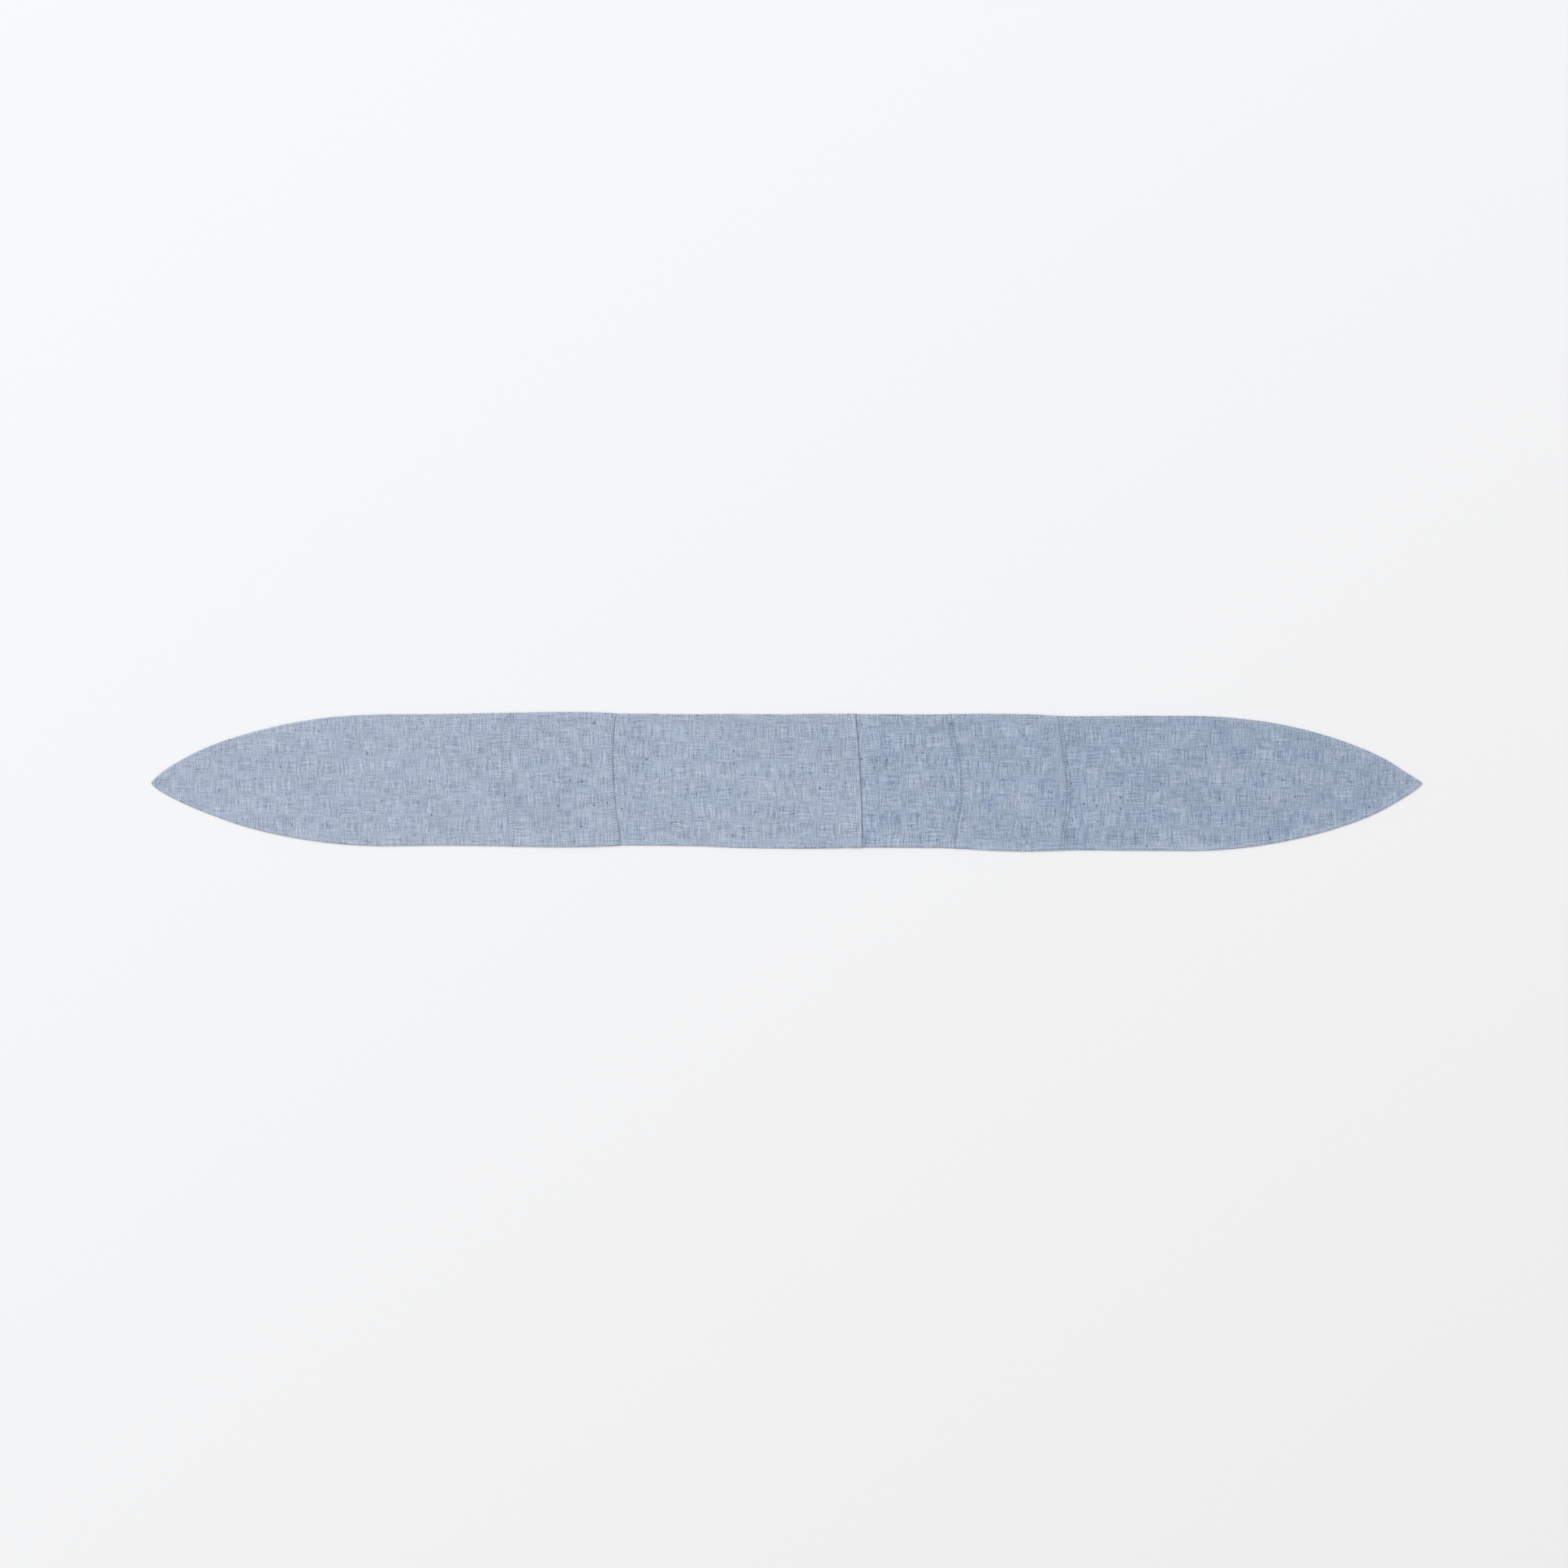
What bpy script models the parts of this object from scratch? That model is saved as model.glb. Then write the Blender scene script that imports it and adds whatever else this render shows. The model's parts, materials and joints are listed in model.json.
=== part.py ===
"""Pointed cloth runner: two layers of chambray, topstitched bands across it and a
pocket mouth in the middle. Metres, +Z up, face side up. The origin is under the
middle of the strip, on the surface that it lies on, and X runs along its length.

The strip lies flat at rest. Its two pointed ends fold about the lines just outside
the bands, and the hemmed lip of the centre panel lifts off the panel under it.
"""

import math

import bmesh
import bpy
from mathutils import Vector

# ---------------------------------------------------------------- dimensions
LENGTH = 1.331  # tip to tip
END_HALF_WIDTH = 0.0700
CENTRE_HALF_WIDTH = 0.0703
BAND_HALF_WIDTH = 0.0712
POINT_LENGTH = 0.2465  # from a tip to where the sides run straight
POINT_POWER = 0.82  # fullness of the point: 0.5 is an ellipse, 1 a parabola
TIP_BLUNT = 0.0012  # half the width left at the tip, where the turned cloth is thick

CLOTH = 0.00045  # thickness of one layer
GAP = 0.0003  # between layers and between neighbours
THREAD_RADIUS = 0.0002

SEAM_1 = -0.2924
SEAM_2 = -0.1819
SEAM_3 = 0.0722
SEAM_4 = 0.1810
SEAM_5 = 0.2898
LEFT_BAND = (SEAM_1 - 0.0029, SEAM_2 + 0.0026)
RIGHT_BAND = (SEAM_4 - 0.0035, SEAM_5 + 0.0034)
HEM_WIDTH = 0.0071  # from the third row to the free edge of the lip
ALLOWANCE = 0.0090  # cloth that runs on under a band

LIP_HINGE_X = 0.0450
LIP_END = SEAM_3 + HEM_WIDTH
LIP_HALF_WIDTH = 0.0625  # free width, between the stitched-down sides
LEFT_FOLD_X = -0.3035
RIGHT_FOLD_X = 0.3015
FOLD_Z = 0.0021  # fold axis, just above the face
FOLD_CLEAR = 0.0024  # from the axis to the cloth on each side of a fold

EDGE_STITCH_INSET = 0.0028
SEAM_THREAD_END = 0.0050  # from the panel's side to where a cross row stops

# Layers, as the height of each one's underside.
BACK_Z = 0.0
LOWER_Z = BACK_Z + CLOTH + GAP
UPPER_Z = LOWER_Z + CLOTH + GAP

POINT_STEPS = 40


# ------------------------------------------------------------------- outline
def half_width(x):
    """Half the width of a pointed end at x."""
    s = max(0.0, LENGTH / 2 - abs(x))
    if s >= POINT_LENGTH:
        return END_HALF_WIDTH
    full = (1.0 - (1.0 - s / POINT_LENGTH) ** 2) ** POINT_POWER
    return max(TIP_BLUNT, END_HALF_WIDTH * full)


def side_of_end(inner_x, sign):
    """Points along one side of a pointed end, from its inner edge out to the tip."""
    straight = LENGTH / 2 - POINT_LENGTH
    points = [(sign * abs(inner_x), END_HALF_WIDTH)]
    for i in range(POINT_STEPS + 1):
        # Closer together towards the tip, where the side turns most.
        t = math.sin(0.5 * math.pi * i / POINT_STEPS)
        x = straight + POINT_LENGTH * t
        points.append((sign * x, half_width(x)))
    return points


def end_outline(inner_x, sign):
    upper = side_of_end(inner_x, sign)
    return upper + [(x, -y) for x, y in reversed(upper)]


def rectangle(x0, x1, half):
    return [(x0, -half), (x1, -half), (x1, half), (x0, half)]


def inset_path(points, inset):
    """The side of an end moved inwards, with a plain turn round the tip."""
    moved = []
    for i, (x, y) in enumerate(points):
        ax, ay = points[max(i - 1, 0)]
        bx, by = points[min(i + 1, len(points) - 1)]
        length = math.hypot(bx - ax, by - ay) or 1.0
        nx, ny = (by - ay) / length, -(bx - ax) / length
        if ny > 0:
            nx, ny = -nx, -ny
        moved.append((x + nx * inset, y + ny * inset))
    return [(x, y) for x, y in moved if y > 0.0012]


# ------------------------------------------------------------------- builders
def material(name, colour, roughness):
    mat = bpy.data.materials.new(name)
    mat.use_nodes = True
    shader = mat.node_tree.nodes["Principled BSDF"]
    shader.inputs["Base Color"].default_value = (*colour, 1.0)
    shader.inputs["Roughness"].default_value = roughness
    shader.inputs["Metallic"].default_value = 0.0
    return mat


def place(obj, collection, mat, parent):
    collection.objects.link(obj)
    obj.data.materials.append(mat)
    if parent is not None:
        obj.parent = parent
        obj.location = Vector(obj.location) - parent.location
    return obj


def panel(name, outline, z, collection, mat, parent=None):
    """A flat piece of cloth: a filled 2D curve, extruded to the cloth's thickness."""
    data = bpy.data.curves.new(name, "CURVE")
    data.dimensions = "2D"
    data.fill_mode = "BOTH"
    data.extrude = CLOTH / 2
    spline = data.splines.new("POLY")
    spline.points.add(len(outline) - 1)
    for point, (x, y) in zip(spline.points, outline):
        point.co = (x, y, 0.0, 1.0)
    spline.use_cyclic_u = True
    obj = bpy.data.objects.new(name, data)
    obj.location = (0.0, 0.0, z + CLOTH / 2)
    return place(obj, collection, mat, parent)


def thread(name, path, collection, mat, parent=None):
    """A run of stitching as one round thread with capped ends."""
    data = bpy.data.curves.new(name, "CURVE")
    data.dimensions = "3D"
    data.bevel_depth = THREAD_RADIUS
    data.bevel_resolution = 2
    data.use_fill_caps = True
    spline = data.splines.new("POLY")
    spline.points.add(len(path) - 1)
    for point, (x, y, z) in zip(spline.points, path):
        point.co = (x, y, z, 1.0)
    obj = bpy.data.objects.new(name, data)
    return place(obj, collection, mat, parent)


def axis_empty(name, x, z, collection):
    empty = bpy.data.objects.new(name, None)
    empty.empty_display_size = 0.05
    empty.location = (x, 0.0, z)
    collection.objects.link(empty)
    return empty


def over(z):
    """Height of a thread's middle on cloth whose underside is at z."""
    return z + CLOTH + GAP + THREAD_RADIUS


# ---------------------------------------------------------------------- model
for old in list(bpy.data.objects):
    bpy.data.objects.remove(old, do_unlink=True)

runner = bpy.data.collections.new("pointed_runner")
bpy.context.scene.collection.children.link(runner)

face_cloth = material("chambray_face", (0.36, 0.42, 0.53), 0.9)
band_cloth = material("chambray_band", (0.35, 0.41, 0.53), 0.9)
lap_cloth = material("chambray_turning", (0.33, 0.39, 0.50), 0.9)
back_cloth = material("chambray_back", (0.34, 0.40, 0.51), 0.9)
seam_thread = material("seam_thread", (0.55, 0.60, 0.68), 0.7)
edge_thread = material("edge_thread", (0.52, 0.57, 0.66), 0.7)

left_axis = axis_empty("left_end_fold_axis", LEFT_FOLD_X, FOLD_Z, runner)
right_axis = axis_empty("right_end_fold_axis", RIGHT_FOLD_X, FOLD_Z, runner)
lip_axis = axis_empty("pocket_lip_axis", LIP_HINGE_X, UPPER_Z, runner)

left_in = LEFT_FOLD_X + FOLD_CLEAR
left_out = LEFT_FOLD_X - FOLD_CLEAR
right_in = RIGHT_FOLD_X - FOLD_CLEAR
right_out = RIGHT_FOLD_X + FOLD_CLEAR

# Back: one cloth, in three lengths that meet at the fold lines.
panel("back_left", end_outline(left_out, -1), BACK_Z, runner, back_cloth, left_axis)
panel("back_middle", rectangle(left_in, right_in, CENTRE_HALF_WIDTH), BACK_Z, runner, back_cloth)
panel("back_right", end_outline(right_out, 1), BACK_Z, runner, back_cloth, right_axis)

# Face: the ends, their turned edges under the bands, and the bands over them.
panel("left_end_panel", end_outline(left_out, -1), LOWER_Z, runner, face_cloth, left_axis)
panel("left_lap", rectangle(left_in, LEFT_BAND[0] + ALLOWANCE, END_HALF_WIDTH), LOWER_Z, runner, lap_cloth)
panel("left_band_panel", rectangle(*LEFT_BAND, BAND_HALF_WIDTH), UPPER_Z, runner, band_cloth)
panel("right_band_panel", rectangle(*RIGHT_BAND, BAND_HALF_WIDTH), UPPER_Z, runner, band_cloth)
panel("right_lap", rectangle(RIGHT_BAND[1] - ALLOWANCE, right_in, END_HALF_WIDTH), LOWER_Z, runner, lap_cloth)
panel("right_end_panel", end_outline(right_out, 1), LOWER_Z, runner, face_cloth, right_axis)

# Face: the centre panel, the lip that it ends in, and the panel under the lip.
panel("centre_panel", rectangle(LEFT_BAND[1] - ALLOWANCE, LIP_HINGE_X - GAP, CENTRE_HALF_WIDTH), LOWER_Z, runner, face_cloth)
panel("pocket_lip", rectangle(LIP_HINGE_X, LIP_END, LIP_HALF_WIDTH), UPPER_Z, runner, face_cloth, lip_axis)
panel("underlap_panel", rectangle(LIP_HINGE_X + GAP, RIGHT_BAND[0] + ALLOWANCE, CENTRE_HALF_WIDTH), LOWER_Z, runner, face_cloth)

# Cross rows.
for number, x, half, parent in (
    (1, SEAM_1, BAND_HALF_WIDTH, None),
    (2, SEAM_2, BAND_HALF_WIDTH, None),
    (3, SEAM_3, LIP_HALF_WIDTH + SEAM_THREAD_END - 0.001, lip_axis),
    (4, SEAM_4, BAND_HALF_WIDTH, None),
    (5, SEAM_5, BAND_HALF_WIDTH, None),
):
    reach = half - SEAM_THREAD_END
    steps = 8
    path = [(x, reach * (2.0 * i / steps - 1.0), over(UPPER_Z)) for i in range(steps + 1)]
    thread(f"seam_thread_{number}", path, runner, seam_thread, parent)

# The row round the outline.
for name, inner, sign, parent in (
    ("edge_thread_left", left_out, -1, left_axis),
    ("edge_thread_right", right_out, 1, right_axis),
):
    start = inner + sign * THREAD_RADIUS
    upper = inset_path(side_of_end(start, sign), EDGE_STITCH_INSET)
    path = upper + [(x, -y) for x, y in reversed(upper)]
    thread(name, [(x, y, over(LOWER_Z)) for x, y in path], runner, edge_thread, parent)

RAMP = 0.0012  # length over which the edge row climbs onto a band
low, high = over(LOWER_Z), over(UPPER_Z)
for name, side in (("edge_thread_far", 1.0), ("edge_thread_near", -1.0)):
    y = side * (END_HALF_WIDTH - EDGE_STITCH_INSET)
    path = [(left_in + THREAD_RADIUS, y, low)]
    for edges in (LEFT_BAND, RIGHT_BAND):
        path += [
            (edges[0] - GAP - RAMP, y, low),
            (edges[0] - GAP, y, high),
            (edges[1] + GAP, y, high),
            (edges[1] + GAP + RAMP, y, low),
        ]
    path.append((right_in - THREAD_RADIUS, y, low))
    thread(name, path, runner, edge_thread)
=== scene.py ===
"""Looks of the pointed chambray runner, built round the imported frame.

Every cloth piece is a curved sheet with its real thickness: two layers turned out and
topstitched round the outline, two bands sewn over the seams, and a centre panel whose
hemmed end lies loose over the next piece. Metres throughout, in the frame's own axes.
"""

import json
import math

import bpy
import numpy as np
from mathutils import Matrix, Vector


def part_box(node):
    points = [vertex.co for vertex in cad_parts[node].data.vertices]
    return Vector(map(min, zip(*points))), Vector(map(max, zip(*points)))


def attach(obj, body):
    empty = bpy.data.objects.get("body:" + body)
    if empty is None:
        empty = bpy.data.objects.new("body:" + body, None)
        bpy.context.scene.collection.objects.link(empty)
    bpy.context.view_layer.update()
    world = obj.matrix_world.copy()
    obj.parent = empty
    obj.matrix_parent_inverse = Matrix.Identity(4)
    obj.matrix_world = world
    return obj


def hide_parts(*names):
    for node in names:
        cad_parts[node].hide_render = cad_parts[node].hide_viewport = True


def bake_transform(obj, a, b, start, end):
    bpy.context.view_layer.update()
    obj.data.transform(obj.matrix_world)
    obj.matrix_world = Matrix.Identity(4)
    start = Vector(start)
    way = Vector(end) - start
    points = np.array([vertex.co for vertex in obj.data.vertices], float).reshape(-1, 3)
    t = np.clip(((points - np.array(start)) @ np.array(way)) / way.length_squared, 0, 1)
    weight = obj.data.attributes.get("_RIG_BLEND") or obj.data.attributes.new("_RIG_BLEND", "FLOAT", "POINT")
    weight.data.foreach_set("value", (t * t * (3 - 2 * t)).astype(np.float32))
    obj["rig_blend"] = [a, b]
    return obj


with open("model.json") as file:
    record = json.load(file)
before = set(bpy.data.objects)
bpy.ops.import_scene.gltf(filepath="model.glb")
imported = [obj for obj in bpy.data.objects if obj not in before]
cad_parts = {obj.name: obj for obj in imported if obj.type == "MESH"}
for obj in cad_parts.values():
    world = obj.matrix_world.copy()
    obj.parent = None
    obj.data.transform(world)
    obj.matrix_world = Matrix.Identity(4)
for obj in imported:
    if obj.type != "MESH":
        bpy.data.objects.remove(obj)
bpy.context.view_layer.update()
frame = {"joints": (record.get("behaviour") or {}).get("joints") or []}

MM = 0.001

# ------------------------------------------------------------------ measures
TIP = (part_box("right_end_panel")[1].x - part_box("left_end_panel")[0].x) / 2
LAYER = 0.00040  # one layer of cloth
PITCH = 0.00292  # stitch length
EDGE_ROW = 0.0028  # the outline's row, inside the edge
RIM_Z = 0.00045  # height where face and back meet at the outline
ALLOWANCE = 0.0090
HEM = 0.0100  # the lip's turning, just wide enough for its row to catch
POINT = 0.2465
LIP_X = 0.0450
UNDERLAP_X = 0.0480



def curve(xs, ys):
    """A smooth curve through a few points."""
    xs, ys = np.array(xs, float), np.array(ys, float)
    if xs[0] > xs[-1]:
        xs, ys = xs[::-1], ys[::-1]
    m = np.gradient(ys, xs)

    def f(x):
        x = np.clip(np.asarray(x, float), xs[0], xs[-1])
        i = np.clip(np.searchsorted(xs, x) - 1, 0, len(xs) - 2)
        h = xs[i + 1] - xs[i]
        t = (x - xs[i]) / h
        return (
            (2 * t**3 - 3 * t**2 + 1) * ys[i]
            + (t**3 - 2 * t**2 + t) * h * m[i]
            + (3 * t**2 - 2 * t**3) * ys[i + 1]
            + (t**3 - t**2) * h * m[i + 1]
        )

    return f


def step(a, b, x):
    t = np.clip((np.asarray(x, float) - a) / (b - a), 0, 1)
    return t * t * (3 - 2 * t)


def roll(d, r):
    """Quarter-round profile: 0 at the edge, 1 from r inwards."""
    t = np.clip(np.asarray(d, float) / r, 0, 1)
    return np.sqrt(np.maximum(0, 1 - (1 - t) ** 2))


# The strip isn't laid quite straight: how far its middle line wanders.
spine = curve(
    [-0.6655, -0.654, -0.634, -0.613, -0.562, -0.501, -0.440, -0.399, -0.314, -0.238, -0.178,
     -0.093, -0.008, 0.077, 0.128, 0.179, 0.230, 0.281, 0.366, 0.451, 0.533, 0.594, 0.635, 0.655, 0.6655],
    [-0.0017, -0.0006, 0.0005, 0.0013, 0.0013, 0.0016, 0.0015, 0.0017, 0.0022, 0.0022, 0.0023,
     0.0016, 0.0003, 0.0009, 0.0007, 0.0003, -0.0009, -0.0015, -0.0016, -0.0018, -0.0017, -0.0022, -0.0025, -0.0027, -0.0018],
)

# Half the width before the ends taper: widest over the two bands.
full_width = curve(
    [-0.6655, -0.420, -0.350, -0.314, -0.280, -0.229, -0.195, -0.178, -0.144, -0.093, -0.059,
     -0.008, 0.026, 0.077, 0.128, 0.179, 0.196, 0.230, 0.264, 0.281, 0.366, 0.420, 0.6655],
    [0.0692, 0.0692, 0.0692, 0.0697, 0.0704, 0.0710, 0.0704, 0.0694, 0.0692, 0.0693, 0.0702,
     0.0705, 0.0708, 0.0702, 0.0701, 0.0705, 0.0712, 0.0720, 0.0718, 0.0709, 0.0708, 0.0709, 0.0709],
)

# The cross rows, as x along the row from the near side (-1) to the far side (1).
ROW_AT = [-0.93, -0.70, -0.45, -0.22, 0.03, 0.28, 0.50, 0.72, 0.97]
seam_1 = curve(ROW_AT, [-0.2869, -0.2878, -0.2903, -0.2924, -0.2944, -0.2953, -0.2954, -0.2941, -0.2899])
seam_2 = curve(ROW_AT, [-0.1772, -0.1790, -0.1815, -0.1833, -0.1846, -0.1852, -0.1849, -0.1840, -0.1823])
seam_3 = curve(ROW_AT, [0.0727, 0.0715, 0.0701, 0.0691, 0.0682, 0.0675, 0.0669, 0.0662, 0.0642])
hem_edge = curve(ROW_AT, [0.0786, 0.0785, 0.0782, 0.0777, 0.0768, 0.0759, 0.0747, 0.0735, 0.0718])
seam_4 = curve(ROW_AT, [0.1763, 0.1777, 0.1813, 0.1828, 0.1826, 0.1812, 0.1785, 0.1753, 0.1721])
seam_5 = curve(ROW_AT, [0.2868, 0.2887, 0.2920, 0.2933, 0.2929, 0.2915, 0.2893, 0.2867, 0.2845])


def shifted(f, by, wobble=0.0, phase=0.0):
    return lambda v: f(v) + by + wobble * np.sin(5.3 * np.asarray(v) + phase)


band_1_left = shifted(seam_1, -0.0029, 0.0002, 0.4)
band_1_right = shifted(seam_2, 0.0026, 0.0002, 1.9)
band_2_left = shifted(seam_4, -0.0037, 0.0003, 0.8)
band_2_right = shifted(seam_5, 0.0034, 0.0003, 2.6)


def taper(x):
    """Share of the full width at x: 1 along the straight sides, to a blunt point at a tip."""
    x = np.asarray(x, float)
    s = np.maximum(0.0, TIP - np.abs(x))
    u = 1 - np.clip(s / POINT, 0, 1)
    power = np.where(x < 0, 0.79, 0.80)
    blunt = np.where(x < 0, 0.034, 0.020)
    # The right tip is drawn out a little more than the left one.
    drawn = np.where(x < 0, -0.07 * np.exp(-((s / 0.014) ** 2)), 0.18 * np.exp(-((s / 0.026) ** 2)))
    return np.hypot(np.maximum(0, 1 - u**2) ** power * (1 - drawn), blunt * np.exp(-s / 0.004) * (0.10 + 0.90 * roll(s, 0.0016)))


def half(x):
    """Half the strip's width at x: the pieces are sewn together first, so they share one outline."""
    return (full_width(x) - 0.0003) * taper(x)


def back_half(x):
    return half(x) - 0.0001


_ax = np.linspace(-TIP, TIP, 20001)
_ah = 0.070 * taper(_ax)
_slope = np.gradient(_ah, _ax)
_arc = np.concatenate([[0], np.cumsum(np.hypot(np.diff(_ax), np.diff(_ah)))])
_arc -= np.interp(0, _ax, _arc)


def arc(x):
    """Length along the outline from the middle of the strip."""
    return np.interp(x, _ax, _arc)


def at_arc(a):
    return np.interp(a, _arc, _ax)


def lean(x):
    """How much longer the outline is than x there."""
    return np.hypot(1, np.clip(np.interp(x, _ax, _slope), -2.5, 2.5))


# --------------------------------------------------------------------- noise
def lattice(seed, cell):
    """Smooth 2D noise in -1..1 with that cell size, by a seeded lattice."""
    grid = np.random.default_rng(seed).uniform(-1, 1, (257, 257))

    def f(x, y):
        gx, gy = np.asarray(x, float) / cell + 80.3, np.asarray(y, float) / cell + 80.7
        i, j = np.floor(gx).astype(int), np.floor(gy).astype(int)
        a, b = gx - i, gy - j
        a, b = a**3 * (a * (6 * a - 15) + 10), b**3 * (b * (6 * b - 15) + 10)
        i, j = i % 256, j % 256
        return (
            grid[i, j] * (1 - a) * (1 - b)
            + grid[i + 1, j] * a * (1 - b)
            + grid[i, j + 1] * (1 - a) * b
            + grid[i + 1, j + 1] * a * b
        )

    return f


swell = lattice(11, 0.060)
swell_fine = lattice(12, 0.019)
pucker_edge = lattice(13, 0.0052)
pucker_seam = lattice(14, 0.0060)
flutter = lattice(15, 0.034)


# ------------------------------------------------------------------- surface
def ripple(x, y, d):
    """Loose rise of the face over the back, most in the open middle of a panel."""
    open_cloth = step(0.004, 0.020, d)
    rise = 0.00022 * (swell(x, y) + 0.6) + 0.00010 * swell_fine(x, y)
    edge = 0.00016 * (flutter(x, 0 * y) + 0.5) * (1 - step(0.0, 0.016, d))
    return rise * (0.35 + 0.65 * open_cloth) + edge


def row_dip(across, along, depth, width=0.00062):
    """A stitch row pulls the cloth in, most at the needle holes, which are PITCH apart."""
    pull = 0.30 + 0.70 * np.cos(math.pi * along / PITCH) ** 2
    return -depth * np.exp(-((across / width) ** 2)) * pull


def seam_pucker(across, along, seed_shift):
    return 0.00017 * np.exp(-np.abs(across) / 0.0055) * pucker_seam(along * 1.0 + seed_shift, across * 0.25)


def face_height(panel, x, y):
    """Height of a face panel's outer surface, and the shade painted into it at needle holes and ditches."""
    x, y = np.broadcast_arrays(np.asarray(x, float), np.asarray(y, float))
    h = half(x)
    off = y - spine(x)
    v = np.clip(off / np.maximum(h, 1e-6), -1, 1)
    d = np.maximum(0, (h - np.abs(off)) / lean(x))
    d = np.minimum(d, np.maximum(0, TIP - np.abs(x)))
    a = arc(x) + np.where(off > 0, 0.0, 0.0007)

    thick = 0.00086 + 0.00040 * (1 - step(0.0070, 0.0105, d))
    z = thick + ripple(x, y, d)
    z = z + 0.00015 * np.exp(-np.abs(d - EDGE_ROW) / 0.004) * pucker_edge(a, d * 0.3)
    dark = np.zeros_like(z)

    z = z + row_dip(d - EDGE_ROW, a, 0.00030)
    # Painted shade in the outline row's needle holes.
    dark = np.maximum(dark, 0.42 * np.exp(-(((d - EDGE_ROW) / 0.0006) ** 2)) * np.cos(math.pi * a / PITCH) ** 4)

    def sewn(row, depth, shift, strength=1.0):
        nonlocal z, dark
        across = x - row(v)
        z = z + row_dip(across, y, depth) + seam_pucker(across, y, shift)
        # Painted shade in the row's needle holes.
        painted_hole_shade = np.exp(-((across / 0.00080) ** 2)) * np.cos(math.pi * y / PITCH) ** 2
        dark = np.maximum(dark, strength * painted_hole_shade)

    def painted_ditch_shade(edge, side, strength, reach=0.0007):
        """Painted shade: the dark line of shadow where a folded edge lies on the cloth beside it."""
        nonlocal dark
        out = side * (x - edge(v))
        broken = strength * (0.74 + 0.26 * np.cos(math.pi * y / PITCH) ** 2 + 0.22 * pucker_seam(y * 1.4, edge(v)))
        dark = np.maximum(dark, broken * np.exp(-((np.maximum(out, 0) / reach) ** 2)) * (out > -0.0006))

    def band(left, right):
        nonlocal z
        near = np.minimum(x - left(v), right(v) - x)
        lift = 0.00010 + 0.00046 * (1 - step(0.0085, 0.0115, near))
        z = z + lift * roll(near, 0.0006) + 0.00004

    if panel == "left_band":
        band(band_1_left, band_1_right)
        sewn(seam_1, 0.00034, 0.1)
        sewn(seam_2, 0.00036, 0.3)
    elif panel == "right_band":
        band(band_2_left, band_2_right)
        sewn(seam_4, 0.00034, 0.5)
        sewn(seam_5, 0.00034, 0.7)
    elif panel == "left_end":
        z = z - 0.00010 * step(-0.0006, 0.0004, x - band_1_left(v))
        painted_ditch_shade(band_1_left, -1, 0.45)
    elif panel == "right_end":
        z = z - 0.00010 * step(-0.0006, 0.0004, band_2_right(v) - x)
        painted_ditch_shade(band_2_right, 1, 0.30)
    elif panel == "underlap":
        z = z - 0.00010 * step(-0.0006, 0.0004, x - band_2_left(v))
        painted_ditch_shade(band_2_left, -1, 0.26 + 0.12 * step(-0.1, 0.4, v), 0.0009)
        painted_ditch_shade(hem_edge, 1, 0.75, 0.0009)
    elif panel == "centre":
        z = z - 0.00010 * step(-0.0006, 0.0004, band_1_right(v) - x)
        painted_ditch_shade(band_1_right, 1, 0.70)
        inner = x - (hem_edge(v) - HEM)
        z = z + 0.00050 * step(0.030, 0.046, x) + 0.00062 * step(-0.0009, 0.0005, inner)
        sewn(seam_3, 0.00036, 0.9)
        dark = np.where(dark < 0.05, dark - 0.055 * step(-0.0006, 0.0006, inner), dark)

    # Pressed turnings show a little paler, more so on the near side.
    pale = np.where(off < 0, 0.060 + 0.046 * step(0.14, 0.22, x), 0.036 + 0.022 * (1 - step(-0.24, -0.14, x))) * (1 - step(0.0036, 0.0062, d)) * (0.7 + 0.3 * flutter(x + 0.7, d * 0))
    dark = np.where(dark < 0.03, dark - pale, dark - 0.5 * pale)

    z = RIM_Z + roll(d, 0.0009) * (z - RIM_Z)
    return z, dark


def back_height(x, y):
    x, y = np.broadcast_arrays(np.asarray(x, float), np.asarray(y, float))
    h = back_half(x)
    off = y - spine(x)
    d = np.maximum(0, (h - np.abs(off)) / lean(x))
    d = np.minimum(d, np.maximum(0, TIP - np.abs(x)))
    a = arc(x) + np.where(off > 0, 0.0, 0.0007)
    z = 0.00004 - row_dip(d - EDGE_ROW, a, 0.00022)
    z = z + (0.00010 * np.clip(swell(x + 1.3, y), 0, 1)) * step(0.006, 0.020, d)
    # Painted shade in the needle holes of the outline's row.
    dark = 0.45 * np.exp(-(((d - EDGE_ROW) / 0.0006) ** 2)) * np.cos(math.pi * a / PITCH) ** 4
    return RIM_Z + roll(d, 0.0008) * (z - RIM_Z), dark


# -------------------------------------------------------------------- meshes
EDGE_STEPS = np.array([0, 0.12, 0.30, 0.55, 0.90, 1.4, 1.9, 2.35, 2.8, 3.25, 3.7, 4.4, 5.2]) * MM


def rows_across(h, k, inner):
    """Signed distances from the middle line at one x: close together near each edge, at an even spacing between."""
    shrink = np.minimum(1.0, 0.8 * h / (EDGE_STEPS[-1] * k))
    far = h[:, None] - EDGE_STEPS[None, :] * (k * shrink)[:, None]
    last = far[:, -1:]
    t = np.linspace(1, -1, inner + 1)[1:-1]
    return np.concatenate([far, last * t[None, :], -far[:, ::-1]], axis=1)


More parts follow.
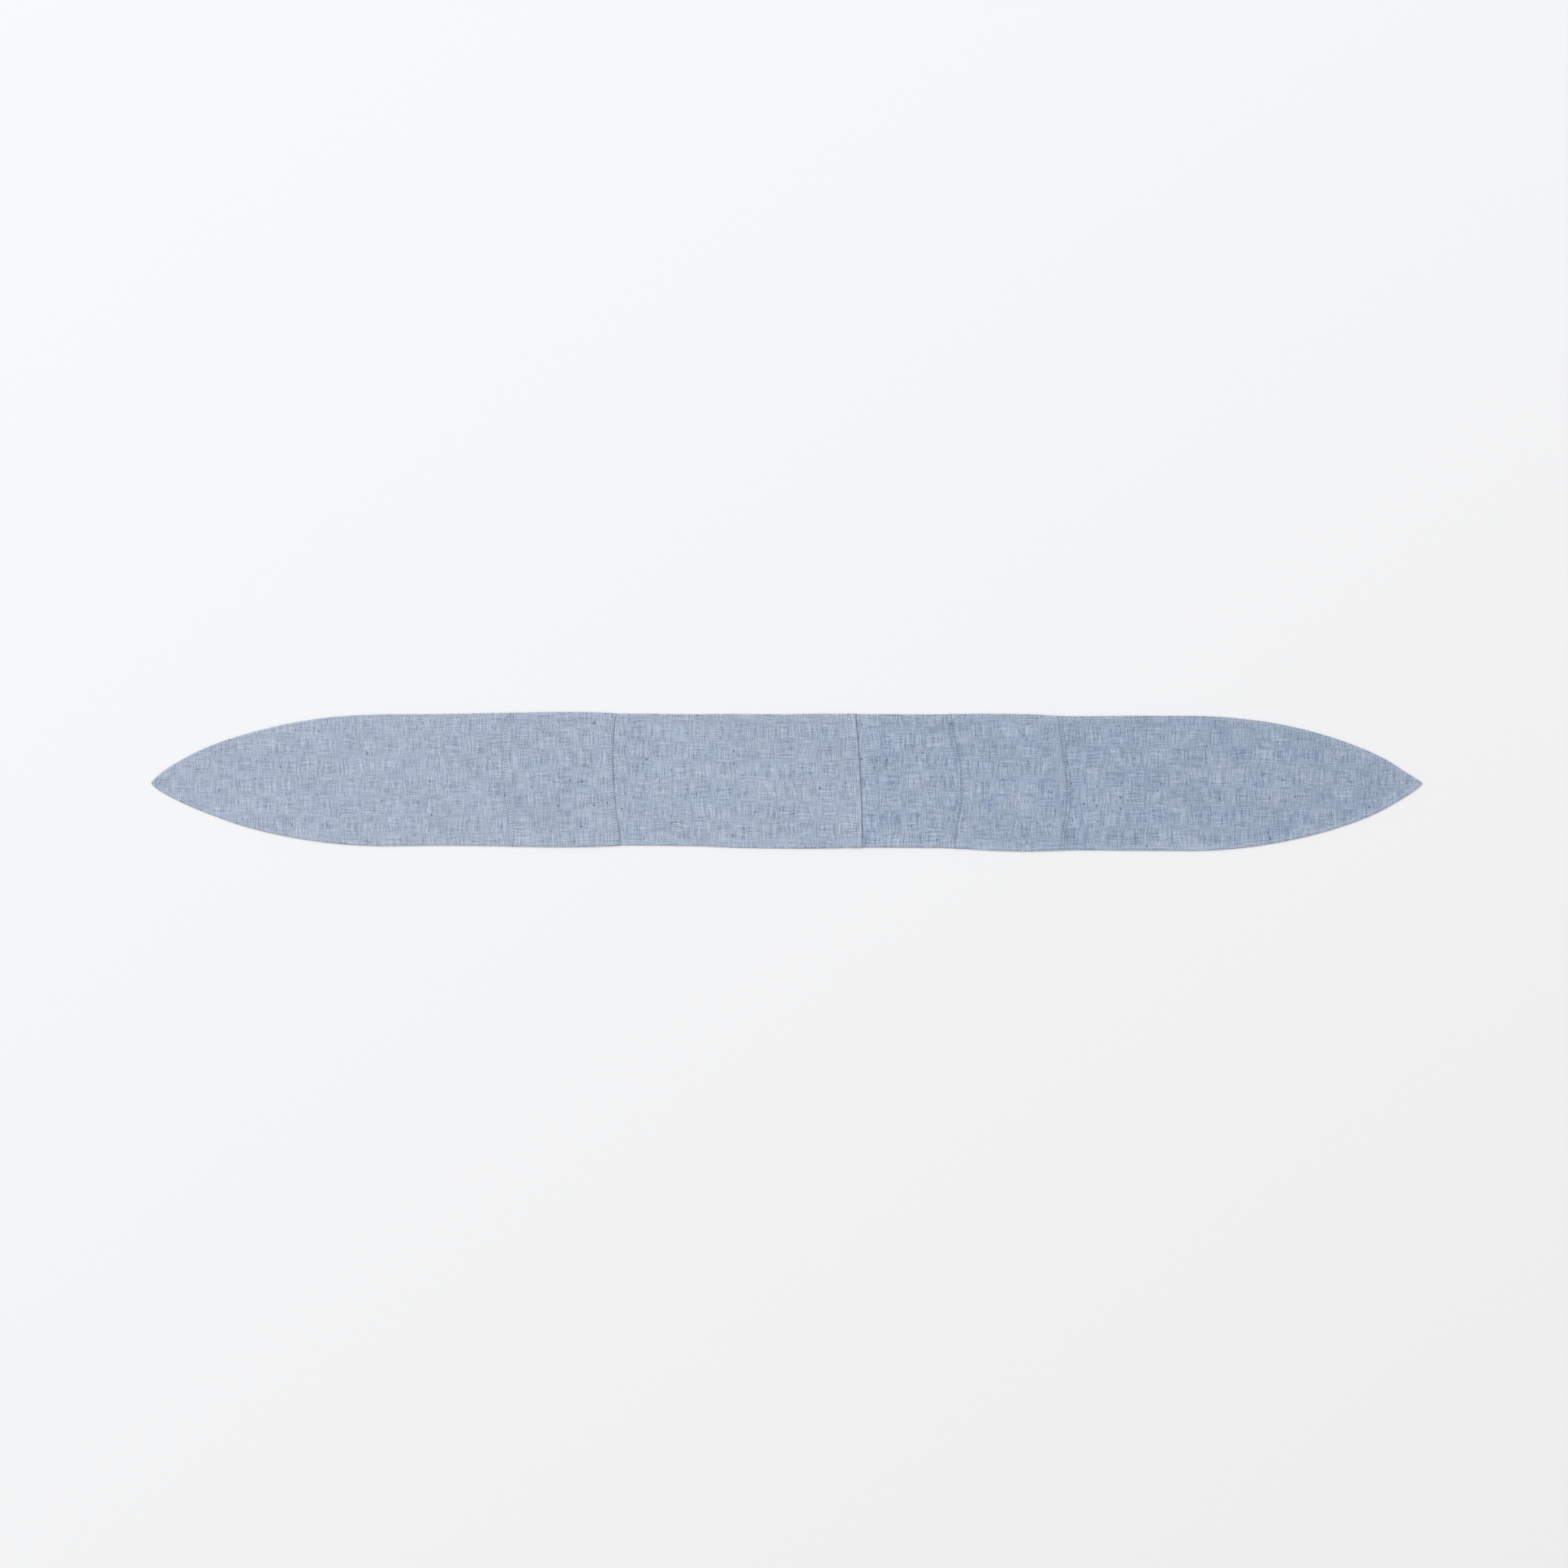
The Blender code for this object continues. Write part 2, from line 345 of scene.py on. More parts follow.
def grid_mesh(name, points, uv, dark, up=True):
    """A sheet from a grid of points, columns by rows, with a map in metres as laid flat."""
    cols, rows = points.shape[:2]
    index = np.arange(cols * rows).reshape(cols, rows)
    a, b, c, d = index[:-1, :-1], index[1:, :-1], index[1:, 1:], index[:-1, 1:]
    quads = np.stack([a, d, c, b] if up else [a, b, c, d], axis=-1).reshape(-1, 4)
    mesh = bpy.data.meshes.new(name)
    mesh.vertices.add(cols * rows)
    mesh.vertices.foreach_set("co", points.reshape(-1).astype(np.float32))
    mesh.loops.add(len(quads) * 4)
    mesh.loops.foreach_set("vertex_index", quads.reshape(-1).astype(np.int32))
    mesh.polygons.add(len(quads))
    mesh.polygons.foreach_set("loop_start", np.arange(0, len(quads) * 4, 4, dtype=np.int32))
    layer = mesh.uv_layers.new(name="cloth")
    layer.data.foreach_set("uv", uv.reshape(-1, 2)[quads.reshape(-1)].reshape(-1).astype(np.float32))
    # Painted shade of needle holes and ditches; negative where pressed turnings are paler.
    shade = mesh.attributes.new("stitch_shade", "FLOAT", "POINT")
    shade.data.foreach_set("value", dark.reshape(-1).astype(np.float32))
    mesh.update(calc_edges=True)
    mesh.validate()
    mesh.shade_smooth()
    obj = bpy.data.objects.new(name, mesh)
    bpy.context.scene.collection.objects.link(obj)
    return obj


def thicken(obj, thickness=LAYER):
    mod = obj.modifiers.new("layer", "SOLIDIFY")
    mod.thickness = thickness
    mod.offset = -1
    mod.use_rim = True
    return obj


def columns(start, end, dense_start, dense_end, pitch=PITCH / 2):
    """Offsets along x from start to end: close together at an end that is a folded edge or carries a row."""
    near = np.array([0, 0.12, 0.30, 0.55, 0.90, 1.4, 1.9, 2.3, 2.65, 3.0, 3.35, 3.7, 4.1, 4.6, 5.3]) * MM
    low = start + near if dense_start else np.array([start])
    high = end - near[::-1] if dense_end else np.array([end])
    count = max(2, int(round((high[0] - low[-1]) / pitch)))
    return np.concatenate([low, np.linspace(low[-1], high[0], count + 1)[1:-1], high])


def panel_grid(panel, base, left, right, inner):
    """Grid of x and y for a panel: base holds the columns' x at the mean of each end; left and right bend them to the seams."""
    x0, x1 = base[0], base[-1]
    mean = base[:, None]
    reach = 0.014 if panel.endswith("_end") else min(0.040, (x1 - x0) * 0.5)
    h = half(base)
    k = lean(base)
    y_rel = rows_across(h, k, inner)
    v = np.clip(y_rel / np.maximum(h[:, None], 1e-6), -1, 1)
    x = np.repeat(mean, y_rel.shape[1], axis=1)
    if left is not None:
        x = x + (left(v) - x0) * (1 - step(x0, x0 + reach, mean))
    if right is not None:
        x = x + (right(v) - x1) * step(x1 - reach, x1, mean)
    return x, y_rel + spine(x)


FOLD_L = next(j for j in frame["joints"] if j["name"] == "left_end_fold")["pos_m"]
FOLD_R = next(j for j in frame["joints"] if j["name"] == "right_end_fold")["pos_m"]
LIFT = next(j for j in frame["joints"] if j["name"] == "pocket_lip_lift")["pos_m"]
FOLD_REACH = 0.0036
FOLD_STEPS = np.arange(-9, 10) * 0.00045

PIECE_OFFSET = {
    "left_end": (0.0, 0.0),
    "left_band": (0.413, 0.371),
    "centre": (0.137, 0.845),
    "underlap": (0.731, 1.213),
    "right_band": (1.117, 0.529),
    "right_end": (0.277, 1.671),
    "back": (2.031, 0.119),
}


def flat_map(panel, x, y):
    ox, oy = PIECE_OFFSET[panel]
    return np.stack([x + ox, y + oy], axis=-1)


def make_panel(name, panel, base, left, right, inner):
    x, y = panel_grid(panel, base, left, right, inner)
    z, dark = face_height(panel, x, y)
    obj = grid_mesh(name, np.stack([x, y, z], axis=-1), flat_map(panel, x, y), dark)
    return thicken(obj)


def end_columns(sign, inner_x):
    """Columns of a pointed end at even steps along its outline, closer at the tip."""
    near = sign * (TIP - np.array([0, 0.12, 0.30, 0.55, 0.90, 1.4, 2.0]) * MM)
    a0, a1 = arc(inner_x), arc(near[-1])
    first = math.ceil(min(a0, a1) / (PITCH / 2)) * PITCH / 2
    even = at_arc(np.arange(first, max(a0, a1), PITCH / 2))
    fold = (FOLD_L if sign < 0 else FOLD_R)[0] + FOLD_STEPS
    cols = np.concatenate([[inner_x], even, near, fold])
    cols = np.unique(np.round(cols, 7))
    keep = np.concatenate([[True], np.diff(cols) > 0.00005])
    return cols[keep]


INNER_SEWN = 90
INNER_END = 56

left_cols = end_columns(-1, -0.2953 + ALLOWANCE)
right_cols = end_columns(1, 0.2933 - ALLOWANCE)

left_end = make_panel("left_end_cloth", "left_end", left_cols, None, shifted(band_1_left, ALLOWANCE), INNER_END)
left_band = make_panel("left_band_cloth", "left_band", columns(-0.2953, -0.1793, True, True), band_1_left, band_1_right, INNER_SEWN)
right_band = make_panel("right_band_cloth", "right_band", columns(0.1775, 0.2933, True, True), band_2_left, band_2_right, INNER_SEWN)
right_end = make_panel("right_end_cloth", "right_end", right_cols, shifted(band_2_right, -ALLOWANCE), None, INNER_END)
underlap = make_panel("underlap_cloth", "underlap", columns(UNDERLAP_X, 0.1775 + ALLOWANCE, False, False), None, shifted(band_2_left, ALLOWANCE), INNER_SEWN)


def centre_cloth():
    """The centre panel, out to the lip's edge, round the fold and back under it as the turned hem."""
    x0, x1 = -0.1793 - ALLOWANCE, 0.0765
    base = columns(x0, x1, False, True)
    x, y = panel_grid("centre", base, shifted(band_1_right, -ALLOWANCE), hem_edge, INNER_SEWN)
    z, dark = face_height("centre", x, y)
    radius = 0.00056
    # The fold: half a turn below the last column, then the hem's underside.
    x = x - radius * step(x1 - 0.004, x1, base)[:, None]
    top = z[-1]
    xe, ye = x[-1], y[-1]
    turn, under = [], []
    for t in np.linspace(0, math.pi, 9)[1:]:
        turn.append((xe + radius * math.sin(t), ye, top - radius * (1 - math.cos(t))))
    for back in np.array([0.4, 1.0, 2.0, 3.2, 4.4, 5.6, 6.8, 7.8, 8.6, 9.2, 9.5]) * MM:
        under.append((xe - back, ye, top - 2 * radius + 0 * xe))
    under.append((xe - 0.0097, ye, top - 2 * radius + 0.00012 + 0 * xe))
    under.append((xe - 0.0097, ye, top - 2 * radius + 0.00030 + 0 * xe))
    # The sides of the fold stay inside the stitched outline.
    extra = np.array([np.stack(p, axis=-1) for p in turn + under])
    h = half(0.07)
    off = extra[..., 1] - spine(extra[..., 0])
    d = h - np.abs(off)
    squeeze = roll(d, 0.0012)
    extra[..., 2] = RIM_Z + 0.00005 + squeeze * (extra[..., 2] - RIM_Z - 0.00005)
    points = np.concatenate([np.stack([x, y, z], axis=-1), extra])
    s = np.concatenate([[0], np.cumsum(np.linalg.norm(np.diff(points[:, 60], axis=0), axis=-1))])
    uv_x = np.concatenate([x, xe[None, :] + (s[len(x) :] - s[len(x) - 1])[:, None]])
    uv_y = np.concatenate([y, np.repeat(ye[None, :], len(extra), axis=0)])
    dark = np.concatenate([dark, np.zeros(extra.shape[:2])])
    obj = grid_mesh("centre_cloth", points, flat_map("centre", uv_x, uv_y), dark)
    order = np.argsort(ye)
    return thicken(obj, 0.00036), (ye[order], extra[len(turn) + 3, :, 2][order])


centre, hem_underside = centre_cloth()


def back_cloth(name, cols):
    h, k = back_half(cols), lean(cols)
    y_rel = rows_across(h, k, 40)
    x = np.repeat(cols[:, None], y_rel.shape[1], axis=1)
    y = y_rel + spine(x)
    z, dark = back_height(x, y)
    obj = grid_mesh(name, np.stack([x, y, z], axis=-1), flat_map("back", x, y), dark, up=False)
    return thicken(obj, 0.00036)


BACK_JOIN = -0.0500
tip_steps = np.array([0, 0.12, 0.30, 0.55, 0.90, 1.4, 2.0]) * MM
even_back = at_arc(np.arange(math.ceil(arc(-TIP + 0.002) / (PITCH / 2)), math.floor(arc(TIP - 0.002) / (PITCH / 2)) + 1) * PITCH / 2)


def back_columns(parts):
    cols = np.unique(np.round(np.concatenate(parts), 7))
    return cols[np.concatenate([[True], np.diff(cols) > 0.00005])]


left_back = back_cloth("back_cloth_left", back_columns([
    -TIP + tip_steps, even_back[(even_back > -TIP + 0.0023) & (even_back < BACK_JOIN - 0.0003)], [BACK_JOIN], FOLD_L[0] + FOLD_STEPS]))
right_back = back_cloth("back_cloth_right", back_columns([
    [BACK_JOIN], even_back[(even_back > BACK_JOIN + 0.0003) & (even_back < TIP - 0.0023)], TIP - tip_steps, FOLD_R[0] + FOLD_STEPS]))


# ------------------------------------------------------------------ stitches
def stitch_mesh(name, runs, girth=1.0, reach=0.55):
    """Lockstitches: runs is a list of (hole points, side vectors, up) rows. Each stitch is one short length of
    plied thread that comes out of one hole, lies on the cloth and goes into the next."""
    sides, rings = 8, 9
    t = np.linspace(0, 1, rings)
    ang = np.arange(sides) / sides * 2 * math.pi
    verts, faces, along, uvs = [], [], [], []
    base = 0
    rng = np.random.default_rng(77)
    for holes, across, up in runs:
        for p, q, s in zip(holes[:-1], holes[1:], across):
            run = q - p
            length = np.linalg.norm(run)
            if length > 1.6 * PITCH:
                continue
            slant = 0.00017 + rng.uniform(-0.00004, 0.00004)
            # Under the strip the thread is pressed nearly flat into the cloth.
            pressed = up[2] < 0
            rise = (0.00006 if pressed else 0.00030) * rng.uniform(0.9, 1.15)
            wide = (0.00034 if pressed else 0.00042) * girth * rng.uniform(0.93, 1.08)
            tall = (0.00012 if pressed else 0.00026) * girth
            lift = np.clip(np.sin(math.pi * t), 0, 1) ** reach
            mid = p + run * t[:, None] + s * (slant * np.cos(math.pi * t))[:, None]
            mid = mid + up * ((-0.00034 + (0.00034 + rise) * lift)[:, None])
            grow = 0.70 + 0.30 * lift
            ring = (
                mid[:, None, :]
                + s * (np.cos(ang) * wide)[None, :, None] * grow[:, None, None]
                + up * (np.sin(ang) * tall)[None, :, None] * grow[:, None, None]
            )
            verts.append(ring.reshape(-1, 3))
            along.append(np.repeat(np.abs(2 * t - 1), sides))
            turn = rng.uniform(0, 1)
            uvs.append(np.stack([np.repeat(t * length + turn, sides), np.tile(ang / (2 * math.pi), rings)], axis=-1))
            ids = base + np.arange(rings * sides).reshape(rings, sides)
            nxt = np.roll(ids, -1, axis=1)
            quads = np.stack([ids[:-1], nxt[:-1], nxt[1:], ids[1:]], axis=-1).reshape(-1, 4)
            flip = np.dot(np.cross(run, s), up) > 0
            faces.extend((quads[:, ::-1] if flip else quads).tolist())
            caps = [ids[0].tolist(), ids[-1].tolist()[::-1]]
            faces.extend([c[::-1] for c in caps] if not flip else caps)
            base += rings * sides
    verts = np.concatenate(verts)
    mesh = bpy.data.meshes.new(name)
    mesh.from_pydata(verts.tolist(), [], faces)
    uvs = np.concatenate(uvs)
    layer = mesh.uv_layers.new(name="thread")
    loops = np.empty(len(mesh.loops), np.int32)
    mesh.loops.foreach_get("vertex_index", loops)
    layer.data.foreach_set("uv", uvs[loops].reshape(-1).astype(np.float32))
    # Distance from each stitch's middle: the thread is painted darker towards its ends, as shade in the holes.
    shade = mesh.attributes.new("sunk", "FLOAT", "POINT")
    shade.data.foreach_set("value", np.concatenate(along).astype(np.float32))
    mesh.validate()
    mesh.shade_smooth()
    obj = bpy.data.objects.new(name, mesh)
    bpy.context.scene.collection.objects.link(obj)
    return obj


UP, DOWN = np.array([0.0, 0.0, 1.0]), np.array([0.0, 0.0, -1.0])


def across_of(points):
    run = np.diff(points, axis=0)
    side = np.stack([-run[:, 1], run[:, 0], 0 * run[:, 0]], axis=-1)
    return side / np.linalg.norm(side, axis=1)[:, None]


def cross_run(panel, row, under=False):
    """Holes of a cross row: PITCH apart from side to side, on the face or on the hem's underside."""
    y = np.arange(-24, 25) * PITCH
    x = row(np.clip(y / 0.0700, -1, 1))
    for _ in range(3):
        x = row(np.clip((y - spine(x)) / half(x), -1, 1))
    inside = np.abs(y - spine(x)) < half(x) - 0.0034
    x, y = x[inside], y[inside]
    if under:
        inside = np.abs(y) < 0.064
        x, y = x[inside], y[inside]
        holes = np.stack([x, y, np.interp(y, *hem_underside) + 0.00002], axis=-1)
        return holes, across_of(holes), DOWN
    z, _ = face_height(panel, x, y)
    holes = np.stack([x, y, z + 0.00022], axis=-1)
    return holes, across_of(holes), UP


def visible_panel(x, v):
    if x < band_1_left(v):
        return "left_end"
    if x < band_1_right(v):
        return "left_band"
    if x < hem_edge(v):
        return "centre"
    if x < band_2_left(v):
        return "underlap"
    return "right_band" if x < band_2_right(v) else "right_end"


def edge_run(side, low, high, face=True):
    """Holes of the outline's row on one side, between two lengths along the outline."""
    shift = 0.0 if side > 0 else 0.0007
    n = np.arange(math.ceil((low + shift) / PITCH), math.floor((high + shift) / PITCH) + 1)
    x = at_arc(n * PITCH - shift)
    points = []
    for xi in x:
        k = float(lean(xi))
        panel = visible_panel(xi, 0.96 * side) if face else None
        h = float(half(xi)) if face else float(back_half(xi))
        shrink = min(1.0, 0.8 * h / (EDGE_STEPS[-1] * k))
        y = float(spine(xi)) + side * (h - EDGE_ROW * k * shrink)
        if face:
            z = float(face_height(panel, xi, y)[0]) + 0.00016
        else:
            z = float(back_height(xi, y)[0]) - 0.00006
        points.append((xi, y, z))
    holes = np.array(points)
    return holes, across_of(holes), UP if face else DOWN


seam_threads = {}
for number, panel, row in (
    (1, "left_band", seam_1),
    (2, "left_band", seam_2),
    (3, "centre", seam_3),
    (4, "right_band", seam_4),
    (5, "right_band", seam_5),
):
    runs = [cross_run(panel, row)]
    if number == 3:
        runs.append(cross_run(panel, row, under=True))
    seam_threads[number] = stitch_mesh(f"seam_stitches_{number}", runs, 1.0, 0.85)

end_a = arc(TIP - 0.0052)
edge_left = stitch_mesh(
    "edge_stitches_left",
    [edge_run(s, -end_a, -0.0005, f) for s in (1, -1) for f in (True, False)],
    1.0,
    0.75,
)
edge_right = stitch_mesh(
    "edge_stitches_right",
    [edge_run(s, 0.0, end_a, f) for s in (1, -1) for f in (True, False)],
    1.0,
    0.75,
)


# ----------------------------------------------------------------- materials
class Nodes:
    """Short calls for building a material's nodes."""

    def __init__(self, name):
        self.mat = bpy.data.materials.new(name)
        self.mat.use_nodes = True
        self.nt = self.mat.node_tree
        self.bsdf = self.nt.nodes["Principled BSDF"]

    def add(self, kind, **props):
        node = self.nt.nodes.new(kind)
        for key, value in props.items():
            setattr(node, key, value)
        return node

    def put(self, socket, value):
        if isinstance(value, bpy.types.NodeSocket):
            self.nt.links.new(value, socket)
        else:
            socket.default_value = value

    def math(self, op, a, b=0.0, clamp=False):
        node = self.add("ShaderNodeMath", operation=op, use_clamp=clamp)
        self.put(node.inputs[0], a)
        self.put(node.inputs[1], b)
        return node.outputs[0]

    def mix(self, fac, a, b, blend="MIX"):
        node = self.add("ShaderNodeMix", data_type="RGBA", blend_type=blend)
        self.put(node.inputs["Factor"], fac)
        self.put(node.inputs[6], a)
        self.put(node.inputs[7], b)
        return node.outputs[2]

    def scaled(self, vector, sx, sy, dx=0.0, dy=0.0):
        node = self.add("ShaderNodeMapping")
        self.put(node.inputs["Vector"], vector)
        node.inputs["Location"].default_value = (dx, dy, 0)
        node.inputs["Scale"].default_value = (sx, sy, 1)
        return node.outputs["Vector"]

    def noise(self, vector, detail=2.0, rough=0.55, scale=1.0, distortion=0.0):
        node = self.add("ShaderNodeTexNoise", noise_dimensions="2D")
        self.put(node.inputs["Vector"], vector)
        node.inputs["Scale"].default_value = scale
        node.inputs["Detail"].default_value = detail
        node.inputs["Roughness"].default_value = rough
        node.inputs["Distortion"].default_value = distortion
        return node.outputs["Fac"]

    def ramp(self, value, low, high, to_low=0.0, to_high=1.0):
        node = self.add("ShaderNodeMapRange", interpolation_type="SMOOTHSTEP")
        self.put(node.inputs["Value"], value)
        for key, v in (("From Min", low), ("From Max", high), ("To Min", to_low), ("To Max", to_high)):
            node.inputs[key].default_value = v
        return node.outputs["Result"]


def linear(r, g, b):
    return tuple(((c / 255 + 0.055) / 1.055) ** 2.4 if c > 10.3 else c / 255 / 12.92 for c in (r, g, b)) + (1.0,)


def chambray(name, offset, dye=(1.0, 1.0, 1.0), bluer=0.5, contrast=1.0, painted_hole_shade=0.85):
    """Blue warp and near-white weft in plain weave, with slubs, streaks and a few navy nubs."""
    n = Nodes(name)
    flat = n.add("ShaderNodeUVMap", uv_map="cloth").outputs["UV"]
    px, py = offset

    # Soft cloth doesn't keep its yarns straight: they sway by a millimetre or two.
    sway = n.add("ShaderNodeCombineXYZ")
    for axis, (wide, fine) in enumerate(((31.0, 47.0), (13.0, 5.0))):
        slow = n.noise(n.scaled(flat, 1 / 0.034, 1 / 0.026, wide, fine), 1.0, 0.5)
        quick = n.noise(n.scaled(flat, 1 / 0.0095, 1 / 0.0085, fine, wide), 1.0, 0.5)
        n.put(sway.inputs[axis], n.math("ADD",
            n.math("MULTIPLY", n.math("SUBTRACT", slow, 0.5), 0.0044),
            n.math("MULTIPLY", n.math("SUBTRACT", quick, 0.5), 0.0010)))
    swayed = n.add("ShaderNodeVectorMath", operation="ADD")
    n.put(swayed.inputs[0], flat)
    n.put(swayed.inputs[1], sway.outputs[0])
    uv = swayed.outputs[0]

    # Uneven yarns: streaks along each direction, thick and thin places, and single coarse picks.
    weft = n.noise(n.scaled(uv, 1 / 0.0011, 1 / 0.021, 3.1, 7.7), 2.0, 0.60)
    warp = n.noise(n.scaled(uv, 1 / 0.022, 1 / 0.0010, 11.3, 2.9), 2.0, 0.60)
    grain = n.noise(n.scaled(uv, 1 / 0.0009, 1 / 0.0009, 5.0, 1.0), 2.0, 0.7)
    broad = n.noise(n.scaled(uv, 1 / 0.048, 1 / 0.036, 21.0, 3.0), 2.0, 0.5)
    cloud = n.noise(n.scaled(uv, 1 / 0.0060, 1 / 0.0090, 9.0, 4.0), 2.0, 0.5)
    slub_v = n.ramp(n.noise(n.scaled(uv, 1 / 0.0014, 1 / 0.0085, 17.0, 23.0), 1.0, 0.5), 0.66, 0.80)
    slub_h = n.ramp(n.noise(n.scaled(uv, 1 / 0.0120, 1 / 0.0013, 29.0, 13.0), 1.0, 0.5), 0.68, 0.82)
    light_v = n.ramp(n.noise(n.scaled(uv, 1 / 0.0011, 1 / 0.0120, 41.0, 5.0), 1.0, 0.5), 0.64, 0.80)
    light_h = n.ramp(n.noise(n.scaled(uv, 1 / 0.0160, 1 / 0.0010, 7.0, 37.0), 1.0, 0.5), 0.64, 0.80)

    # The weave itself, one yarn over and one under.
    sep = n.add("ShaderNodeSeparateXYZ")
    n.put(sep.inputs[0], uv)
    wave_u = n.math("SINE", n.math("MULTIPLY", sep.outputs[0], 2 * math.pi / 0.00074))
    wave_v = n.math("SINE", n.math("MULTIPLY", sep.outputs[1], 2 * math.pi / 0.00074))
    over = n.math("MULTIPLY", wave_u, wave_v)

    f = n.math("MULTIPLY", n.math("SUBTRACT", weft, 0.5), 1.05)
    f = n.math("ADD", f, n.math("MULTIPLY", n.math("SUBTRACT", warp, 0.5), 0.85))
    f = n.math("ADD", f, n.math("MULTIPLY", n.math("SUBTRACT", grain, 0.5), 1.00))
    f = n.math("ADD", f, n.math("MULTIPLY", n.math("SUBTRACT", cloud, 0.5), 0.12))
    f = n.math("ADD", f, n.math("MULTIPLY", n.math("SUBTRACT", broad, 0.5), 0.20))
    f = n.math("ADD", f, n.math("MULTIPLY", over, 0.10))
    f = n.math("ADD", f, n.math("MULTIPLY", light_v, 0.22))
    f = n.math("ADD", f, n.math("MULTIPLY", light_h, 0.18))
    f = n.math("SUBTRACT", f, n.math("MULTIPLY", slub_v, 0.30))
    f = n.math("SUBTRACT", f, n.math("MULTIPLY", slub_h, 0.20))
    f = n.math("ADD", n.math("MULTIPLY", f, contrast), 0.5, clamp=True)

    blue = linear(108, 122, 148)
    white = linear(204, 214, 230)
    colour = n.mix(f, blue, white)

    # Patches where the dye took bluer.
    patch = n.ramp(n.noise(n.scaled(uv, 1 / 0.038, 1 / 0.030, 2.0 + px, 8.0 + py), 2.0, 0.5), 0.46, 0.66)
    tint = n.mix(n.math("MULTIPLY", patch, bluer), (1, 1, 1, 1), (0.945, 0.965, 1.02, 1))
    colour = n.mix(1.0, colour, tint, "MULTIPLY")

    # Each piece's own shade, and the tone drifting along the strip; pressed folds are a little paler.
    here = n.math("SUBTRACT", sep.outputs[0], px)
    tone = n.ramp(here, -0.60, 0.62, 1.045, 0.905)
    shade = n.add("ShaderNodeAttribute", attribute_name="stitch_shade").outputs["Fac"]
    tone = n.math("MULTIPLY", tone, n.math("SUBTRACT", 1.0, n.math("MINIMUM", shade, 0.0)))
    n_tone = n.add("ShaderNodeCombineColor")
    for i in range(3):
        n.put(n_tone.inputs[i], n.math("MULTIPLY", tone, dye[i]))
    colour = n.mix(1.0, colour, n_tone.outputs[0], "MULTIPLY")

    # Nubs and picks follow the yarn, so they wander a little and break up.
    bent = n.add("ShaderNodeVectorMath", operation="ADD")
    n.put(bent.inputs[0], uv)
    wander = n.add("ShaderNodeCombineXYZ")
    n.put(wander.inputs[0], n.math("MULTIPLY", n.math("SUBTRACT", n.noise(n.scaled(uv, 1 / 0.0009, 1 / 0.0012), 3.0, 0.7), 0.5), 0.0030))
    n.put(wander.inputs[1], n.math("MULTIPLY", n.math("SUBTRACT", n.noise(n.scaled(uv, 1 / 0.0016, 1 / 0.0016, 3.0, 3.0), 3.0, 0.7), 0.5), 0.0034))
    n.put(bent.inputs[1], wander.outputs[0])
    bent = bent.outputs[0]
    # Navy nubs of undrawn fibre, and short dark picks.
    cells = n.add("ShaderNodeTexVoronoi", voronoi_dimensions="2D", feature="F1")
    n.put(cells.inputs["Vector"], n.scaled(bent, 1 / 0.0130, 1 / 0.0260, 1.7, 4.4))
    cells.inputs["Scale"].default_value = 1.0
    near = n.ramp(cells.outputs["Distance"], 0.036, 0.064, 1.0, 0.0)
    pick = n.add("ShaderNodeSeparateColor")
    n.put(pick.inputs[0], cells.outputs["Color"])
    chosen = n.ramp(pick.outputs[0], 0.81, 0.86)
    ragged = n.math("ADD", n.math("MULTIPLY", over, 0.22), 0.76)
    colour = n.mix(n.math("MULTIPLY", n.math("MULTIPLY", near, chosen), ragged), colour, linear(36, 47, 74))
    cells2 = n.add("ShaderNodeTexVoronoi", voronoi_dimensions="2D", feature="F1")
    n.put(cells2.inputs["Vector"], n.scaled(bent, 1 / 0.0040, 1 / 0.0190, 6.3, 9.1))
    cells2.inputs["Scale"].default_value = 1.0
    near2 = n.ramp(cells2.outputs["Distance"], 0.06, 0.14, 1.0, 0.0)
    pick2 = n.add("ShaderNodeSeparateColor")
    n.put(pick2.inputs[0], cells2.outputs["Color"])
    chosen2 = n.ramp(pick2.outputs[1], 0.62, 0.95)
    colour = n.mix(n.math("MULTIPLY", n.math("MULTIPLY", near2, chosen2), 0.60), colour, linear(78, 94, 126))

    # Painted shade: needle holes and the lines where a folded edge lies on its neighbour, darkened as if in shadow.
    sunk = n.math("MAXIMUM", shade, 0.0)
    colour = n.mix(n.math("MULTIPLY", sunk, painted_hole_shade), colour, linear(62, 74, 100))
    n.put(n.bsdf.inputs["Base Color"], colour)

    rough = n.math("ADD", n.math("MULTIPLY", grain, 0.16), 0.80)
    n.put(n.bsdf.inputs["Roughness"], rough)
    n.bsdf.inputs["Specular IOR Level"].default_value = 0.25
    n.bsdf.inputs["Sheen Weight"].default_value = 0.18
    n.bsdf.inputs["Sheen Roughness"].default_value = 0.5
    n.bsdf.inputs["Sheen Tint"].default_value = (0.86, 0.90, 1.0, 1.0)

    height = n.math("ADD", n.math("MULTIPLY", over, 0.28), n.math("MULTIPLY", weft, 0.9))
    height = n.math("ADD", height, n.math("MULTIPLY", warp, 0.7))
    height = n.math("ADD", height, n.math("MULTIPLY", slub_v, 0.4))
    bump = n.add("ShaderNodeBump")
    bump.inputs["Strength"].default_value = 0.55
    bump.inputs["Distance"].default_value = 0.00016
    n.put(bump.inputs["Height"], height)
    n.put(n.bsdf.inputs["Normal"], bump.outputs["Normal"])
    return n.mat


